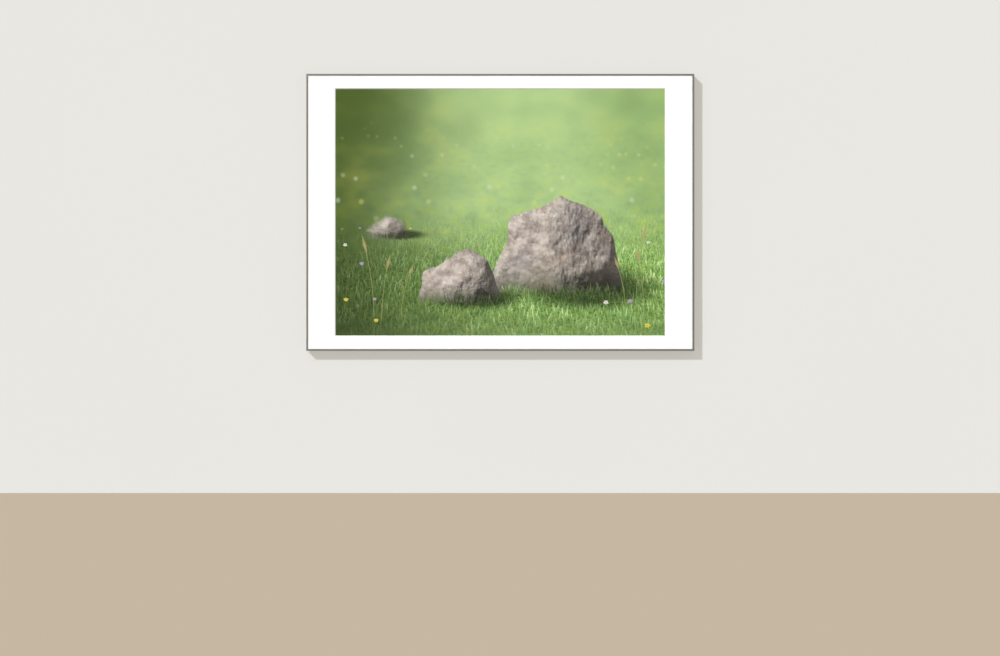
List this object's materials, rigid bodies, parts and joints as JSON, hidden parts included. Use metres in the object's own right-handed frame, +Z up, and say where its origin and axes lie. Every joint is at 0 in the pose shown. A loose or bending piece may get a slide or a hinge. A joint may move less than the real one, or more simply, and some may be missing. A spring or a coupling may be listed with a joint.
{
  "type": "framed wall print",
  "caption": "Landscape printed picture in a windowed mat behind clear glass, in a slim metal wall frame with a toothed hanger.",
  "frame": {"origin": "on the wall, behind the middle of the hanger's toothed edge and level with its valleys, where the wall hook bears", "axes": "+X to the right as a viewer facing the picture sees it, +Y from the picture into the wall, +Z up"},
  "size_m": [1, 0.029, 0.714],
  "materials": {
    "rail_metal": "fine lengthwise brushing, anodised warm mid-grey, satin",
    "glazing": "clear and polished, with an anti-reflection coat",
    "mat_board": "matt white board with a faint tooth and a 45 degree bevelled window",
    "print_paper": "matt fine-art print of a soft green meadow with grey-brown boulders and a few small flowers",
    "backing_hardboard": "brown pressed hardboard, smooth face with a fine fibre fleck",
    "spring_steel": "blued spring steel",
    "plated_steel": "bright zinc plating with a faint mottle",
    "bumper_rubber": "matt black rubber"
  },
  "bodies": {
    "root": {"rail_top": "rail_metal", "rail_right": "rail_metal", "rail_bottom": "rail_metal", "rail_left": "rail_metal", "glass_pane": "glazing", "mat_board": "mat_board", "printed_sheet": "print_paper", "backing_board": "backing_hardboard", "spring_top_1": "spring_steel", "spring_top_2": "spring_steel", "spring_top_3": "spring_steel", "spring_top_4": "spring_steel", "spring_right_1": "spring_steel", "spring_right_2": "spring_steel", "spring_bottom_1": "spring_steel", "spring_bottom_2": "spring_steel", "spring_bottom_3": "spring_steel", "spring_bottom_4": "spring_steel", "spring_left_1": "spring_steel", "spring_left_2": "spring_steel", "key_top_left": "plated_steel", "key_top_right": "plated_steel", "key_bottom_right": "plated_steel", "key_bottom_left": "plated_steel", "key_screw_top_left_1": "plated_steel", "key_screw_top_left_2": "plated_steel", "key_screw_top_right_1": "plated_steel", "key_screw_top_right_2": "plated_steel", "key_screw_bottom_right_1": "plated_steel", "key_screw_bottom_right_2": "plated_steel", "key_screw_bottom_left_1": "plated_steel", "key_screw_bottom_left_2": "plated_steel", "hanger": "plated_steel", "hanger_screw_1": "plated_steel", "hanger_screw_2": "plated_steel", "hanger_screw_3": "plated_steel", "bumper_top_left": "bumper_rubber", "bumper_top_right": "bumper_rubber", "bumper_bottom_left": "bumper_rubber", "bumper_bottom_right": "bumper_rubber"}
  },
  "joints": []
}
